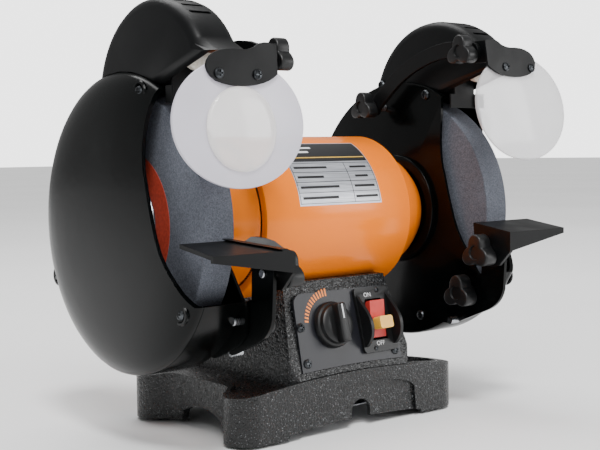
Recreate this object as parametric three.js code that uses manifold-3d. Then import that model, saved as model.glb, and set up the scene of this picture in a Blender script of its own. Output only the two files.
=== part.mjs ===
// Bench grinder with two guarded wheels, work lights, eye shields and adjustable tool rests.
// Millimetres, +Z up. X runs along the shaft, with +X to the right hand wheel. -Y is the front.
// Every piece is drawn with the shaft axis at y = 0, and the whole grinder is then moved by SHAFT_Y.
import * as THREE from "three";
import { mergeVertices } from "three/addons/utils/BufferGeometryUtils.js";
import Module from "manifold-3d";

const wasm = await Module();
wasm.setup();

// Driving dimensions.
const SHAFT_Y = 14.2; // centres the grinder's box on the origin
const SHAFT_Z = 169;
const GAP = 0.35; // between pieces that touch
const WHEEL = { x: 145, radius: 100, width: 25, bore: 8.3 };
const DRUM = { radius: 65.5, wall: 3, half: 77 };
const BELL = { radius: 58, nose: 38, end: 117 };
const GUARD = { x: 123, radius: 114.6, wall: 2.4, seam: 160, rim: 165, crown: 181 };
const BASE = { halfX: 115.5, halfY: 81, waist: 96, corner: 19, edge: 38, middle: 47, wall: 6, sunk: 3 };
const PEDESTAL = { top: 119, bottom: 40, topX: 54, bottomX: 66, topY: 53.6, bottomY: 79.5 };
const FOOT = { x: 92, y: 60, radius: 12, tall: 10 };
const PANEL = { topY: -60.6, topZ: 110.3, bottomY: -76.8, bottomZ: 50.6, topX: 50, bottomX: 53, thick: 2 };
const REST = { backY: -103, backZ: 160.5, frontY: -143, frontZ: 154.3, innerX: 112, outerX: 181, thick: 3 };
const REST_PIVOT = { y: -119, z: 137 };
const BRACKET = { x: 119.4, thick: 3 };
const CLAMP = { y: -92, z: 101 }; // the bolt that clamps the rest bracket to the guard
const ARM_FOOT = { y: 15, z: 261 };
const ARM_TIP = { y: -105, z: 302 };
const ARM_X = { from: 108, to: 112 };
const ARM_DROP = { left: 5.8, right: 0 }; // degrees that each arm is swung down from its highest place
const PLATE_SHIFT = { left: 4, right: -3 }; // how far each shield plate sits outward on its lens
const SHIELD = { dy: -22, dz: -46, halfX: 55, halfZ: 44.5, thick: 3, lean: 9 };
const RIM = 40; // facets on a guard
const ROUND = 24; // facets on a large round

const rad = THREE.MathUtils.degToRad;
const TO_X = new THREE.Matrix4().makeBasis(
  new THREE.Vector3(0, 1, 0),
  new THREE.Vector3(0, 0, 1),
  new THREE.Vector3(1, 0, 0),
);

// Colours and finishes.
const FINISH = {
  cast: [0x26282a, 0.75, 0.3],
  black: [0x1c1e1f, 0.35, 0.5],
  satin: [0x232628, 0.5, 0.4],
  orange: [0xf59a13, 0.25, 0.1],
  rubber: [0x151515, 0.9, 0],
  panel: [0x4a4c58, 0.5, 0.2],
  plastic: [0x2b2d30, 0.5, 0],
  knob: [0x3a3c40, 0.5, 0],
  red: [0xc8453f, 0.4, 0],
  yellow: [0xf0c66a, 0.4, 0],
  steel: [0xb4b7ba, 0.35, 1],
  laminate: [0x7c8084, 0.5, 0.9],
  copper: [0xb4662e, 0.4, 0.8],
  board: [0x2f6b45, 0.6, 0],
  stone: [0x9a9da3, 0.95, 0],
  clear: [0xeef1f2, 0.1, 0],
  glass: [0xf6f2e4, 0.15, 0],
};

// A closed geometry as a solid that can be joined and cut.
function solid(geometry) {
  const g = geometry.clone();
  g.deleteAttribute("normal");
  g.deleteAttribute("uv");
  const m = mergeVertices(g, 1e-3);
  return new wasm.Manifold(
    new wasm.Mesh({
      numProp: 3,
      vertProperties: new Float32Array(m.attributes.position.array),
      triVerts: new Uint32Array(m.index.array),
    }),
  );
}

function geometryOf(body) {
  const mesh = body.getMesh();
  const g = new THREE.BufferGeometry();
  g.setAttribute("position", new THREE.BufferAttribute(new Float32Array(mesh.vertProperties), 3));
  g.setIndex(new THREE.BufferAttribute(new Uint32Array(mesh.triVerts), 1));
  return g;
}

const placed = (geometry, matrix) => solid(geometry.clone().applyMatrix4(matrix));
const shift = (x, y, z) => new THREE.Matrix4().makeTranslation(x, y, z);

function box(x0, x1, y0, y1, z0, z1) {
  const g = new THREE.BoxGeometry(x1 - x0, y1 - y0, z1 - z0);
  return placed(g, shift((x0 + x1) / 2, (y0 + y1) / 2, (z0 + z1) / 2));
}

function outline(points) {
  return new THREE.Shape(points.map(([x, y]) => new THREE.Vector2(x, y)));
}

// A shape drawn in y and z, pushed along x.
function slabX(shape, x0, x1, facets = 8) {
  const g = new THREE.ExtrudeGeometry(shape, { depth: x1 - x0, bevelEnabled: false, curveSegments: facets });
  return placed(g, shift(x0, 0, 0).multiply(TO_X));
}

// A shape drawn in x and y, pushed up along z.
function slabZ(shape, z0, z1, facets = 8) {
  const g = new THREE.ExtrudeGeometry(shape, { depth: z1 - z0, bevelEnabled: false, curveSegments: facets });
  return placed(g, shift(0, 0, z0));
}

// A profile of [x, radius] points turned about the line through y and z, along x.
function turned(points, y = 0, z = SHAFT_Z, facets = ROUND) {
  const g = new THREE.LatheGeometry(points.map(([x, r]) => new THREE.Vector2(r, x)), facets);
  g.rotateZ(-Math.PI / 2);
  const body = placed(g, shift(0, y, z));
  return body.volume() > 0 ? body : placed(flipped(g), shift(0, y, z));
}

function flipped(g) {
  const copy = g.clone();
  const index = copy.index.array;
  for (let i = 0; i < index.length; i += 3) {
    [index[i + 1], index[i + 2]] = [index[i + 2], index[i + 1]];
  }
  return copy;
}

// A rod along x, as [x0, x1] and a radius.
const rod = (x0, x1, r, y = 0, z = SHAFT_Z, facets = 20) =>
  turned([[x0, 0], [x0, r], [x1, r], [x1, 0]], y, z, facets);

// A ring along x.
const tube = (x0, x1, inner, outer, y = 0, z = SHAFT_Z, facets = ROUND) =>
  turned([[x0, inner], [x0, outer], [x1, outer], [x1, inner], [x0, inner]], y, z, facets);

function roundedRect(x0, x1, y0, y1, r) {
  const s = new THREE.Shape();
  s.moveTo(x0 + r, y0);
  s.lineTo(x1 - r, y0);
  s.absarc(x1 - r, y0 + r, r, -Math.PI / 2, 0);
  s.lineTo(x1, y1 - r);
  s.absarc(x1 - r, y1 - r, r, 0, Math.PI / 2);
  s.lineTo(x0 + r, y1);
  s.absarc(x0 + r, y1 - r, r, Math.PI / 2, Math.PI);
  s.lineTo(x0, y0 + r);
  s.absarc(x0 + r, y0 + r, r, Math.PI, 1.5 * Math.PI);
  return s;
}

const grinder = new THREE.Group();
grinder.position.set(0, SHAFT_Y, 0);

function add(group, name, body, finish) {
  const [color, roughness, metalness] = FINISH[finish];
  const mesh = new THREE.Mesh(
    geometryOf(body),
    new THREE.MeshStandardMaterial({ color, roughness, metalness }),
  );
  mesh.name = name;
  group.add(mesh);
  return mesh;
}

// ---- Base ----------------------------------------------------------------------------------

// The foot print: four round cornered lobes, waisted between front and rear, drawn inset by d.
function footprint(d = 0) {
  const { halfX, halfY, waist, corner } = BASE;
  const x = halfX - d;
  const y = halfY - d;
  const w = waist - d;
  const r = corner - d / 2;
  const s = new THREE.Shape();
  s.moveTo(-x + r, -y);
  s.lineTo(x - r, -y);
  s.absarc(x - r, -y + r, r, -Math.PI / 2, 0);
  s.bezierCurveTo(x, -y + r + 16, w, -y + r + 14, w, -y + r + 30);
  s.lineTo(w, y - r - 30);
  s.bezierCurveTo(w, y - r - 14, x, y - r - 16, x, y - r);
  s.absarc(x - r, y - r, r, 0, Math.PI / 2);
  s.lineTo(-x + r, y);
  s.absarc(-x + r, y - r, r, Math.PI / 2, Math.PI);
  s.bezierCurveTo(-x, y - r - 16, -w, y - r - 14, -w, y - r - 30);
  s.lineTo(-w, -y + r + 30);
  s.bezierCurveTo(-w, -y + r + 14, -x, -y + r + 16, -x, -y + r);
  s.absarc(-x + r, -y + r, r, Math.PI, 1.5 * Math.PI);
  return s;
}

// Everything below the arched top of the plinth, lower by d.
function arch(d = 0) {
  const { halfX, halfY, edge, middle } = BASE;
  const s = new THREE.Shape();
  s.moveTo(-halfX - 5, -5);
  s.lineTo(halfX + 5, -5);
  s.lineTo(halfX + 5, edge - d);
  s.quadraticCurveTo(0, 2 * middle - edge - d, -halfX - 5, edge - d);
  const g = new THREE.ExtrudeGeometry(s, { depth: 2 * halfY + 10, bevelEnabled: false, curveSegments: 14 });
  g.rotateX(Math.PI / 2);
  return placed(g, shift(0, halfY + 5, 0));
}

// The pillar under the motor, inset by d, with a sloped front and flared sides.
function pillar(d = 0) {
  const { top, bottom, topX, bottomX, topY, bottomY } = PEDESTAL;
  const side = outline([
    [-bottomY + d, bottom],
    [bottomY - 12 - d, bottom],
    [topY - d, top],
    [-topY + d, top],
  ]);
  const front = outline([
    [-bottomX + d, bottom],
    [bottomX - d, bottom],
    [topX - d, top],
    [-topX + d, top],
  ]);
  const g = new THREE.ExtrudeGeometry(front, { depth: 200, bevelEnabled: false });
  g.rotateX(Math.PI / 2);
  const corners = new THREE.ExtrudeGeometry(roundedRect(-bottomX, bottomX, -bottomY, bottomY, 16), {
    depth: 200,
    bevelEnabled: false,
    curveSegments: 4,
  });
  return slabX(side, -80, 80)
    .intersect(placed(g, shift(0, 100, 0)))
    .intersect(placed(corners, shift(0, 0, 0)));
}

// An opening under the plinth, as a flat arch along x or y.
function underArch(half, height, along) {
  const s = new THREE.Shape();
  s.moveTo(-half, -1);
  s.lineTo(half, -1);
  s.lineTo(half - 4, height * 0.6);
  s.quadraticCurveTo(0, height * 1.25, -half + 4, height * 0.6);
  const g = new THREE.ExtrudeGeometry(s, { depth: 260, bevelEnabled: false, curveSegments: 6 });
  g.rotateX(Math.PI / 2);
  g.translate(0, 130, 0);
  if (along === "x") g.rotateZ(Math.PI / 2);
  return solid(g);
}

// The sunk panel in the front wall, with the round topped notch that goes right through it.
function frontPanel() {
  const { halfY } = BASE;
  const panel = outline([
    [-59, 5], [-59, 10], [-53, 31], [-47, 34], [-30, 36.5], [-10, 37.5], [25, 36.5], [45, 34], [58, 30], [63, 26], [65, 5],
  ]);
  const notch = new THREE.Shape();
  notch.moveTo(-5, -1);
  notch.lineTo(15, -1);
  notch.lineTo(15, 13);
  notch.absarc(5, 13, 10, 0, Math.PI, false);
  const cut = (shape, from, depth) => {
    const g = new THREE.ExtrudeGeometry(shape, { depth, bevelEnabled: false, curveSegments: 10 });
    return placed(g.rotateX(Math.PI / 2), shift(0, from, 0));
  };
  return cut(panel, 2.5 - halfY, 10).add(cut(notch, BASE.wall + 3 - halfY, 20));
}

function baseCasting() {
  const plinth = slabZ(footprint(), 2.5, 60, 6).intersect(arch());
  const deck = slabZ(footprint(BASE.wall + 5), 0, 60, 6).subtract(arch(BASE.sunk)).subtract(pillar(-0.01));
  const hollow = slabZ(footprint(BASE.wall), 0, 60, 6).intersect(arch(BASE.sunk + BASE.wall));
  const room = pillar(5).intersect(box(-60, 60, -74, 60, 20, 98));
  const opening = panelSpace(-4, -16, 30);
  const motor = rod(-90, 90, DRUM.radius + GAP, 0, SHAFT_Z, ROUND);
  const bosses = FEET.map(({ x, y }) => rodZ(FOOT.tall + GAP, 33, FOOT.radius, x, y));
  const gland = rodY(50, 120, 9, -45, 24);
  return plinth
    .subtract(deck)
    .add(pillar())
    .subtract(hollow)
    .add(wasm.Manifold.union(bosses))
    .subtract(room)
    .subtract(box(-50, 50, -62, 52, 20, 60))
    .subtract(opening)
    .subtract(panelSpace(GAP, -2.6, 6))
    .subtract(motor)
    .subtract(gland)
    .subtract(frontPanel())
    .subtract(underArch(74, 9, "y"))
    .subtract(underArch(30, 20, "x"));
}

const FEET = [["front", -1], ["rear", 1]].flatMap(([end, sy]) =>
  [["left", -1], ["right", 1]].map(([hand, sx]) => ({
    name: "foot_" + end + "_" + hand,
    x: sx * FOOT.x,
    y: sy * FOOT.y,
  })),
);

// A rod up along z, which may taper to r at its foot.
function rodZ(z0, z1, top, x, y, r = top) {
  const g = new THREE.CylinderGeometry(top, r, z1 - z0, 20);
  g.rotateX(Math.PI / 2);
  return placed(g, shift(x, y, (z0 + z1) / 2));
}

// A rod along y.
function rodY(y0, y1, r, x, z, facets = 20) {
  const g = new THREE.CylinderGeometry(r, r, y1 - y0, facets);
  return placed(g, shift(x, (y0 + y1) / 2, z));
}

// ---- Control panel ---------------------------------------------------------------------------

// The panel's own frame: x across, v up the slope, w out of the face. Origin at its middle.
const panelLean = Math.atan2(PANEL.topY - PANEL.bottomY, PANEL.topZ - PANEL.bottomZ);
const panelFrame = new THREE.Matrix4()
  .makeTranslation(0, (PANEL.topY + PANEL.bottomY) / 2, (PANEL.topZ + PANEL.bottomZ) / 2)
  .multiply(new THREE.Matrix4().makeRotationX(Math.PI / 2 - panelLean));
const panelHalf = Math.hypot(PANEL.topZ - PANEL.bottomZ, PANEL.topY - PANEL.bottomY) / 2;

// A shape in the panel's plane, from w0 to w1 out of it.
function onPanel(shape, w0, w1, facets = 8) {
  const g = new THREE.ExtrudeGeometry(shape, { depth: w1 - w0, bevelEnabled: false, curveSegments: facets });
  return placed(g.translate(0, 0, w0), panelFrame);
}

function panelShape(d = 0) {
  const { topX, bottomX } = PANEL;
  const r = 9;
  const s = new THREE.Shape();
  s.moveTo(-bottomX - d, -panelHalf - d);
  s.quadraticCurveTo(0, -panelHalf - d + 3, bottomX + d, -panelHalf - d);
  s.lineTo(topX + d, panelHalf + d - r);
  s.absarc(topX + d - r, panelHalf + d - r, r, 0, Math.PI / 2);
  s.lineTo(-topX - d + r, panelHalf + d);
  s.absarc(-topX - d + r, panelHalf + d - r, r, Math.PI / 2, Math.PI);
  return s;
}

const panelSpace = (d, w0, w1) => onPanel(panelShape(d), w0, w1);

const SWITCH = { x: 30, v: 3.2, halfX: 18.5, halfV: 26.5 };
const KNOB_AT = { x: -15.5, v: 3.5 };

function ringShape(x, v, r) {
  const s = new THREE.Shape();
  s.absarc(x, v, r, 0, 2 * Math.PI);
  return s;
}

function controlPanel() {
  const { x, v, halfX, halfV } = SWITCH;
  return panelSpace(0, -PANEL.thick, 0)
    .subtract(onPanel(ringShape(KNOB_AT.x, KNOB_AT.v, 4.6), -5, 5, 4))
    .subtract(onPanel(roundedRect(x - halfX + 5, x + halfX - 5, v - halfV + 5, v + halfV - 5, 1), -5, 5, 1));
}

function speedKnob() {
  const skirt = onPanel(ringShape(KNOB_AT.x, KNOB_AT.v, 18.5), GAP, 5, 10);
  const cap = onPanel(ringShape(KNOB_AT.x, KNOB_AT.v, 15), 4.9, 9, 9);
  const grip = onPanel(roundedRect(KNOB_AT.x - 4, KNOB_AT.x + 4, KNOB_AT.v - 14, KNOB_AT.v + 14, 2), 8.9, 17, 2);
  const bore = onPanel(ringShape(KNOB_AT.x, KNOB_AT.v, 3.5), -1, 12, 4);
  return skirt.add(cap).add(grip).subtract(bore);
}

function speedPotentiometer() {
  const can = onPanel(ringShape(KNOB_AT.x, KNOB_AT.v, 11), -14, -PANEL.thick - GAP, 8);
  const bush = onPanel(ringShape(KNOB_AT.x, KNOB_AT.v, 4), -4, -0.2, 6);
  const spindle = onPanel(ringShape(KNOB_AT.x, KNOB_AT.v, 3), -1, 11.5, 6);
  return can.add(bush).add(spindle);
}

function speedControlBoard() {
  const sheet = onPanel(roundedRect(-46, 6, -22, 22, 1), -30, -28.4, 1);
  const sink = onPanel(roundedRect(-40, -18, -18, 16, 1), -28.5, -18, 1);
  const choke = onPanel(ringShape(-3, -12, 6), -28.5, -20, 6);
  return sheet.add(sink).add(choke);
}

// The switch box: a bezel with two curved side cheeks that guard the paddle.
function switchHousing() {
  const { x, v, halfX, halfV } = SWITCH;
  const bezel = onPanel(roundedRect(x - halfX, x + halfX, v - halfV, v + halfV, 3), GAP, 3, 2);
  const body = onPanel(roundedRect(x - 13, x + 13, v - 21, v + 18, 1), -24, 1, 1);
  const cheeks = [-1, 1].map((side) => {
    const s = new THREE.Shape();
    s.moveTo(v - 22, 2.5);
    s.lineTo(v + 22, 2.5);
    s.quadraticCurveTo(v + 14, 7, v + 6, 12);
    s.quadraticCurveTo(v - 4, 18, v - 14, 13);
    s.quadraticCurveTo(v - 20, 9, v - 22, 2.5);
    const g = new THREE.ExtrudeGeometry(s, { depth: 3, bevelEnabled: false, curveSegments: 5 });
    g.applyMatrix4(shift(x + side * 16 - 1.5, 0, 0).multiply(TO_X));
    return placed(g, panelFrame);
  });
  const well = onPanel(roundedRect(x - 9, x + 9, v - 17, v + 17, 1), -12, 6, 1);
  return bezel.add(body).add(cheeks[0]).add(cheeks[1]).subtract(well);
}

const PADDLE = { halfX: 8, halfV: 15 }; // half its width and half its height

// The paddle rocks on a line across its middle; the key fills a slot in its lower half.
function switchPaddle() {
  const { x, v } = SWITCH;
  const s = outline([
    [v - PADDLE.halfV, -1],
    [v - PADDLE.halfV, 2.5],
    [v, 5],
    [v + PADDLE.halfV, 8],
    [v + PADDLE.halfV, 3],
    [v, -6],
  ]);
  const g = new THREE.ExtrudeGeometry(s, { depth: 2 * PADDLE.halfX, bevelEnabled: false });
  g.applyMatrix4(shift(x - PADDLE.halfX, 0, 0).multiply(TO_X));
  const slot = onPanel(roundedRect(x - 5.4, x + 5.4, v - 8.4, v + 0.4, 0.5), 0, 20, 1);
  return placed(g, panelFrame).subtract(slot);
}

function safetyKey() {
  const { x, v } = SWITCH;
  const blade = onPanel(roundedRect(x - 5, x + 5, v - 8, v, 0.5), 0.4, 7, 1);
  const head = onPanel(roundedRect(x - 7, x + 7, v - 9, v + 1, 2), 6.9, 15, 2);
  return blade.add(head);
}

function buildControls() {
  add(grinder, "control_panel", controlPanel(), "panel");
  add(grinder, "speed_knob", speedKnob(), "knob");
  add(grinder, "speed_potentiometer", speedPotentiometer(), "steel");
  add(grinder, "speed_control_board", speedControlBoard(), "board");
  add(grinder, "switch_housing", switchHousing(), "plastic");
  add(grinder, "switch_paddle", switchPaddle(), "red");
  add(grinder, "safety_key", safetyKey(), "yellow");
}

function buildBase() {
  add(grinder, "base_casting", baseCasting(), "cast");
  add(grinder, "base_cover", box(-70, 70, -58, 58, 12, 13.5), "steel");
  FEET.forEach(({ name, x, y }) => add(grinder, name, rodZ(0, FOOT.tall, FOOT.radius, x, y, 11), "rubber"));
  const gland = rodY(BASE.halfY - BASE.wall - 3, BASE.halfY + 8, 8.6, -45, 24)
    .add(rodY(BASE.halfY + GAP, BASE.halfY + 4, 12, -45, 24))
    .subtract(rodY(60, 100, 4, -45, 24));
  add(grinder, "cord_gland", gland, "rubber");
}

// ---- Motor -----------------------------------------------------------------------------------

const SHAFT = { body: 10, end: 7.9, shoulder: 121, tip: 171, seat: 8.5 };
const BEARING = { x0: 96, x1: 108, inner: 10.3, outer: 20 };

function motorDrum() {
  const { radius, wall, half } = DRUM;
  const lip = 3;
  return turned([
    [-half, radius - wall - lip],
    [-half, radius - lip],
    [-half + lip, radius],
    [half - lip, radius],
    [half, radius - lip],
    [half, radius - wall - lip],
    [half - wall - lip, radius - wall - lip],
    [half - wall - lip, radius - wall],
    [-half + wall + lip, radius - wall],
    [-half + wall + lip, radius - wall - lip],
    [-half, radius - wall - lip],
  ]);
}

// A domed end bell with a pocket for its bearing.
function endBell() {
  const x0 = DRUM.half + GAP;
  const { radius, nose, end } = BELL;
  const wall = 3.5;
  return turned([
    [x0, radius - wall],
    [x0, radius],
    [x0 + 5, radius - 5],
    [x0 + 20, radius - 8],
    [x0 + 33, radius - 15],
    [end - 2, nose],
    [end, nose - 3],
    [end, SHAFT.body + 1.5],
    [BEARING.x1 + GAP, SHAFT.body + 1.5],
    [BEARING.x1 + GAP, BEARING.outer + GAP],
    [BEARING.x0, BEARING.outer + GAP],
    [BEARING.x0, BEARING.outer + 4],
    [BEARING.x1, BEARING.outer + 4],
    [x0 + 28, radius - 18],
    [x0 + 6, radius - 10],
    [x0, radius - wall],
  ]);
}

const SLOTS = 12;

// A toothed ring shape: the laminations, with slots for the winding.
function statorCore() {
  let core = tube(-32, 32, 33, 61.5, 0, SHAFT_Z, 24);
  for (let i = 0; i < SLOTS; i++) {
    const slot = box(-40, 40, -3.6, 3.6, SHAFT_Z + 35, SHAFT_Z + 51);
    core = core.subtract(aroundShaft(slot, (i * 360) / SLOTS));
  }
  return core;
}

function aroundShaft(body, degrees) {
  const m = shift(0, 0, SHAFT_Z)
    .multiply(new THREE.Matrix4().makeRotationX(rad(degrees)))
    .multiply(shift(0, 0, -SHAFT_Z));
  return placed(geometryOf(body), m);
}

function statorWinding() {
  let coil = tube(-50, -33, 36, 52, 0, SHAFT_Z, 24).add(tube(33, 50, 36, 52, 0, SHAFT_Z, 24));
  for (let i = 0; i < SLOTS; i++) {
    const bar = box(-36, 36, -3.2, 3.2, SHAFT_Z + 37, SHAFT_Z + 50.5);
    coil = coil.add(aroundShaft(bar, (i * 360) / SLOTS));
  }
  return coil;
}

const rotor = () => tube(-38, 38, SHAFT.body + GAP, 32, 0, SHAFT_Z, 32);

function motorShaft() {
  const { body, end, shoulder, tip } = SHAFT;
  return turned(
    [[-tip, 0], [-tip, end], [-shoulder, end], [-shoulder, body], [shoulder, body], [shoulder, end], [tip, end], [tip, 0]],
    0,
    SHAFT_Z,
    28,
  );
}

function buildMotor() {
  add(grinder, "motor_drum", motorDrum(), "orange");
  add(grinder, "stator_core", statorCore(), "laminate");
  add(grinder, "stator_winding", statorWinding(), "copper");
  add(grinder, "rotor", rotor(), "laminate");
  add(grinder, "motor_shaft", motorShaft(), "steel");
}

// ---- One end of the grinder, drawn as the right hand end ---------------------------------------

const WHEEL_IN = WHEEL.x - WHEEL.width / 2;
const WHEEL_OUT = WHEEL.x + WHEEL.width / 2;

function wheel() {
  const { radius, bore } = WHEEL;
  return turned(
    [
      [WHEEL_IN, bore],
      [WHEEL_IN, radius - 1],
      [WHEEL_IN + 1, radius],
      [WHEEL_OUT - 1, radius],
      [WHEEL_OUT, radius - 1],
      [WHEEL_OUT, bore],
      [WHEEL_IN, bore],
    ],
    0,
    SHAFT_Z,
    44,
  );
}

const hexagon = (y, z, r) =>
  outline([0, 1, 2, 3, 4, 5].map((i) => [y + r * Math.cos(rad(60 * i)), z + r * Math.sin(rad(60 * i))]));

const flangeProfile = (x0, x1, face) => {
  const [near, far] = face > 0 ? [x1, x0] : [x0, x1];
  return [[near, 26], [near, 36], [far, 32], [far, SHAFT.end + GAP], [near - face * 1.5, SHAFT.end + GAP], [near - face * 1.5, 26], [near, 26]];
};
const innerFlange = () => turned(flangeProfile(WHEEL_IN - 6.7, WHEEL_IN - GAP, 1), 0, SHAFT_Z, 20);
const outerFlange = () => turned(flangeProfile(WHEEL_OUT + GAP, WHEEL_OUT + 7, -1), 0, SHAFT_Z, 20);
const spindleNut = () =>
  slabX(hexagon(0, SHAFT_Z, 14), WHEEL_OUT + 7 + GAP, WHEEL_OUT + 16).subtract(rod(120, 190, SHAFT.end + GAP));

// The opening in the front of the guard, cut straight across both of its walls and its rim.
function wheelOpening() {
  const wall = outline([
    [-56, 320], [-56, 252], [-54.6, 230], [-55.7, 213], [-59, 200], [-66, 174], [-74, 152], [-84.5, 136],
    [-99, 115], [-150, 113], [-150, 320],
  ]);
  return slabX(wall, GUARD.x - 3, GUARD.crown + 5);
}

function guardShell() {
  const { x, radius, wall, seam } = GUARD;
  const dish = turned(
    [[x, 24], [x, radius], [seam, radius], [seam, radius - wall], [x + wall, radius - wall], [x + wall, 24], [x, 24]],
    0,
    SHAFT_Z,
    RIM,
  );
  const boss = tube(x - 5, x + 1, 40.5, 48.5);
  const foot = slabX(
    outline([[-40, 72], [-62, 70], [-78, 76], [-92, 83], [-101, 92], [-103, 112], [-96, 118], [-60, 100]]),
    x,
    x + wall,
  );
  return dish
    .add(boss)
    .add(foot.subtract(rod(0, 200, radius - 1, 0, SHAFT_Z, RIM)))
    .subtract(wheelOpening())
    .subtract(rod(x - 10, x + 10, 3.4, CLAMP.y, CLAMP.z, 12))
    .subtract(rod(x - 10, x + 10, 3.4, ARM_FOOT.y, ARM_FOOT.z, 12));
}

function guardCover() {
  const { radius, wall, seam, rim, crown } = GUARD;
  const x0 = seam + GAP;
  const outside = [[x0, radius], [rim, radius - 1], [rim + 8, radius - 10], [crown - 3, radius - 28], [crown, radius - 60]];
  const inside = outside.map(([x, r]) => [x - wall * ((x - x0) / (crown - x0)), r - wall]).reverse();
  return turned([...outside, [crown + 1, 0], [crown + 1 - wall, 0], ...inside, [x0, radius]], 0, SHAFT_Z, RIM).subtract(
    wheelOpening(),
  );
}

// The hump over the guard that holds the work light, open at the front and below.
const HOOD = { y: -39, z: 260, radius: 74.5, x0: 127, x1: 164, round: 8 };

function hoodShape(d) {
  const s = new THREE.Shape();
  const { y, z, radius } = HOOD;
  const r = radius - d;
  s.absarc(y, z, r, rad(14), rad(150), false);
  s.lineTo(-114.5 + d, 288 + d * 0.4);
  s.lineTo(-58 + d, 270 + d);
  s.lineTo(36 - d, 276);
  return s;
}

function lampHousing() {
  const g = new THREE.ExtrudeGeometry(hoodShape(HOOD.round), {
    depth: HOOD.x1 - HOOD.x0 - 2 * HOOD.round,
    bevelEnabled: true,
    bevelThickness: HOOD.round,
    bevelSize: HOOD.round,
    bevelSegments: 3,
    curveSegments: 14,
  });
  const skin = placed(g, shift(HOOD.x0 + HOOD.round, 0, 0).multiply(TO_X));
  const clearOfGuard = rod(100, 200, GUARD.radius + GAP, 0, SHAFT_Z, RIM);
  const room = slabX(hoodShape(5), HOOD.x0 + 4, HOOD.x1 - 4, 14).intersect(box(100, 200, -140, -52, 200, 340));
  const mouth = slabX(outline([[-130, 272], [-58, 262], [-62, 280], [-100, 291], [-127, 288]]), HOOD.x0 + 4, HOOD.x1 - 4);
  return skin.subtract(clearOfGuard).subtract(room).subtract(mouth);
}

// A round bulb in its holder, which is let into the back of the lamp room.
function lampBulb() {
  const profile = [[-4, 0], [-4, 9], [8, 9], [8, 8], [15, 12], [22, 13.5], [29, 12], [33, 8], [35, 0]];
  const g = new THREE.LatheGeometry(profile.map(([x, r]) => new THREE.Vector2(r, x)), 20);
  g.rotateX(rad(205));
  const seat = shift((HOOD.x0 + HOOD.x1) / 2, -60, 302);
  const made = placed(g, seat);
  return made.volume() > 0 ? made : placed(flipped(g), seat);
}

// An adjustable plate that stops sparks from being carried round the wheel.
function sparkArrester() {
  const face = box(128, 163, -63, -61.4, 258, 270.3);
  const tongue = box(133, 158, -63, -61.4, 270, 284);
  const returned = box(161.4, 163, -70, -61.4, 258, 270.3);
  return face.add(tongue).add(returned);
}

// The rest's bracket: a plate with a finger up to the rest's pivot and a slot for its clamp.
function restBracket() {
  const { x, thick } = BRACKET;
  const s = new THREE.Shape();
  s.moveTo(-105, 117);
  s.lineTo(-106, 142);
  s.absarc(REST_PIVOT.y, REST_PIVOT.z, 12.5, rad(20), rad(170), false);
  s.lineTo(-129, 106);
  s.quadraticCurveTo(-126, 93, -112, 87);
  s.lineTo(-80, 74);
  s.quadraticCurveTo(-68, 76, -68, 88);
  s.lineTo(-72, 108);
  const slot = roundedRect(CLAMP.y - 4, CLAMP.y + 17, CLAMP.z - 4, CLAMP.z + 4, 3.9);
  return slabX(s, x, x + thick, 6)
    .subtract(slabX(slot, x - 1, x + thick + 1, 4))
    .subtract(rod(100, 130, 3.4, REST_PIVOT.y, REST_PIVOT.z, 12));
}

// The rest: a sloping table with a skirt that is deep at its inner end and an ear for the pivot.
function toolRest(grooved) {
  const { backY, backZ, frontY, frontZ, innerX, outerX, thick } = REST;
  const table = (lift, depth) =>
    slabX(
      outline([[backY, backZ + lift], [frontY, frontZ + lift], [frontY, frontZ + lift - depth], [backY, backZ + lift - depth]]),
      innerX,
      outerX,
    );
  const skirtShape = new THREE.Shape();
  skirtShape.moveTo(innerX, frontZ);
  skirtShape.lineTo(innerX, frontZ - 16);
  skirtShape.lineTo(outerX, frontZ - 4.5);
  skirtShape.lineTo(outerX, frontZ);
  const g = new THREE.ExtrudeGeometry(skirtShape, { depth: thick, bevelEnabled: false });
  g.rotateX(Math.PI / 2);
  const skirt = placed(g, shift(0, frontY + thick, 0));
  const ear = slabX(
    outline([[backY, backZ], [frontY, frontZ], [frontY, frontZ - 16], [-131, 126], [-119, 124], [-107, 130], [backY - 1, 146]]),
    innerX,
    innerX + thick,
  );
  let rest = table(0, thick).add(skirt).add(ear).subtract(rod(100, 130, 3.4, REST_PIVOT.y, REST_PIVOT.z, 12));
  if (grooved) {
    const cut = new THREE.Shape();
    cut.moveTo(-14, 3);
    cut.lineTo(14, 3);
    cut.lineTo(0, -4.6);
    const groove = new THREE.ExtrudeGeometry(cut, { depth: 70, bevelEnabled: false });
    groove.rotateX(Math.PI / 2);
    groove.rotateZ(rad(-27));
    groove.rotateX(Math.atan2(backZ - frontZ, backY - frontY));
    const middle = shift(152, (backY + frontY) / 2, (backZ + frontZ) / 2 + 1);
    const under = shift(152, (backY + frontY) / 2, (backZ + frontZ) / 2 + 1 - thick);
    const half = new THREE.Matrix4().makeTranslation(
      -35 * Math.sin(rad(27)),
      35 * Math.cos(rad(27)),
      35 * Math.sin(Math.atan2(backZ - frontZ, backY - frontY)),
    );
    const field = table(8, 40);
    const filled = placed(groove, under.clone().multiply(half)).intersect(field);
    rest = rest.add(filled).subtract(placed(groove, middle.clone().multiply(half)));
  }
  return rest;
}

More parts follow.
